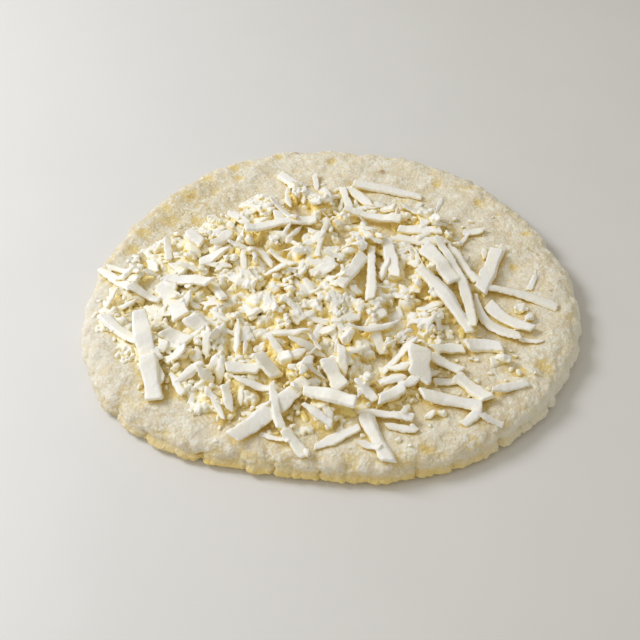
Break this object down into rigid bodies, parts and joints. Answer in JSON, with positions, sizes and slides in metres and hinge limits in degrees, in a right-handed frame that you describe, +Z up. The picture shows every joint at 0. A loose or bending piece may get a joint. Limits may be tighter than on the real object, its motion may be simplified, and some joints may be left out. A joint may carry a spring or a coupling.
{
  "type": "arepa with grated cheese",
  "caption": "Flat round corn cake with a soft raised rim and split edge, topped with a low heap of coarsely grated white cheese.",
  "frame": {"origin": "middle of the flat underside, at the centre of the cake's width and depth", "axes": "+Z up out of the cake's top, +X along its longer width to the right, +Y to the back, the camera's far side"},
  "size_m": [0.2094, 0.1928, 0.0185],
  "materials": {
    "corn_dough": "griddled pale corn dough, matt and finely grainy",
    "fresh_cheese": "moist fresh white cheese, soft sheen"
  },
  "bodies": {
    "root": {"corn_cake": "corn_dough", "grated_cheese": "fresh_cheese"}
  },
  "joints": []
}
